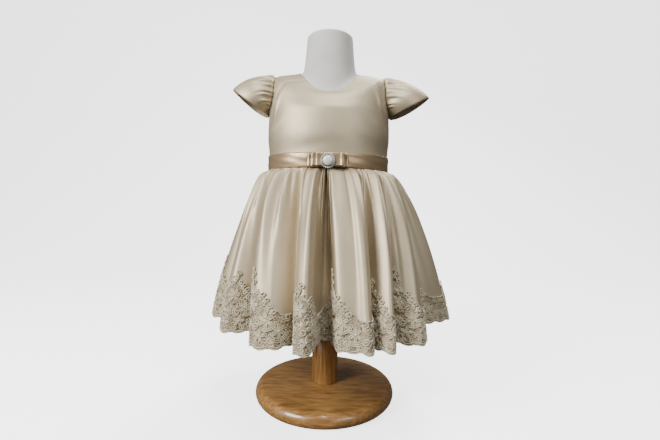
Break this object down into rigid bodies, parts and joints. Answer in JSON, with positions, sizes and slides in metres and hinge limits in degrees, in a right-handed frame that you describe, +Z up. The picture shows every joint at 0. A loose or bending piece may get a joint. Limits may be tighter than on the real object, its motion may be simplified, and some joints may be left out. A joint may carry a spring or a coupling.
{
  "type": "christening gown on dress form",
  "caption": "Champagne satin christening gown with cap sleeves, ribbon sash, bow, pearl brooch and gathered skirt with a lace border, on a limbless form with a wooden stand.",
  "frame": {"origin": "centre of the base's underside, on the floor", "axes": "+Z up along the post, the gown's front faces -Y, the wearer's left is +X"},
  "size_m": [0.3551, 0.3304, 0.5337],
  "materials": {
    "satin": "soft satin sheen",
    "ribbon": "satin ribbon",
    "lace": "matt corded lace",
    "form_cover": "matt jersey cover",
    "wood": "varnished",
    "silver": "polished, set with clear stones",
    "pearl": "pearl lustre"
  },
  "bodies": {
    "root": {"bodice_front": "satin", "bodice_back_left": "satin", "bodice_back_right": "satin", "sleeve_left": "satin", "sleeve_right": "satin", "skirt_front": "satin", "skirt_back": "satin", "lace_front": "lace", "lace_back": "lace", "sash_ribbon": "ribbon", "bow_under": "ribbon", "bow_upper": "ribbon", "brooch_setting": "silver", "brooch_pearl": "pearl", "form_torso": "form_cover", "form_post": "wood", "form_base": "wood"}
  },
  "joints": []
}
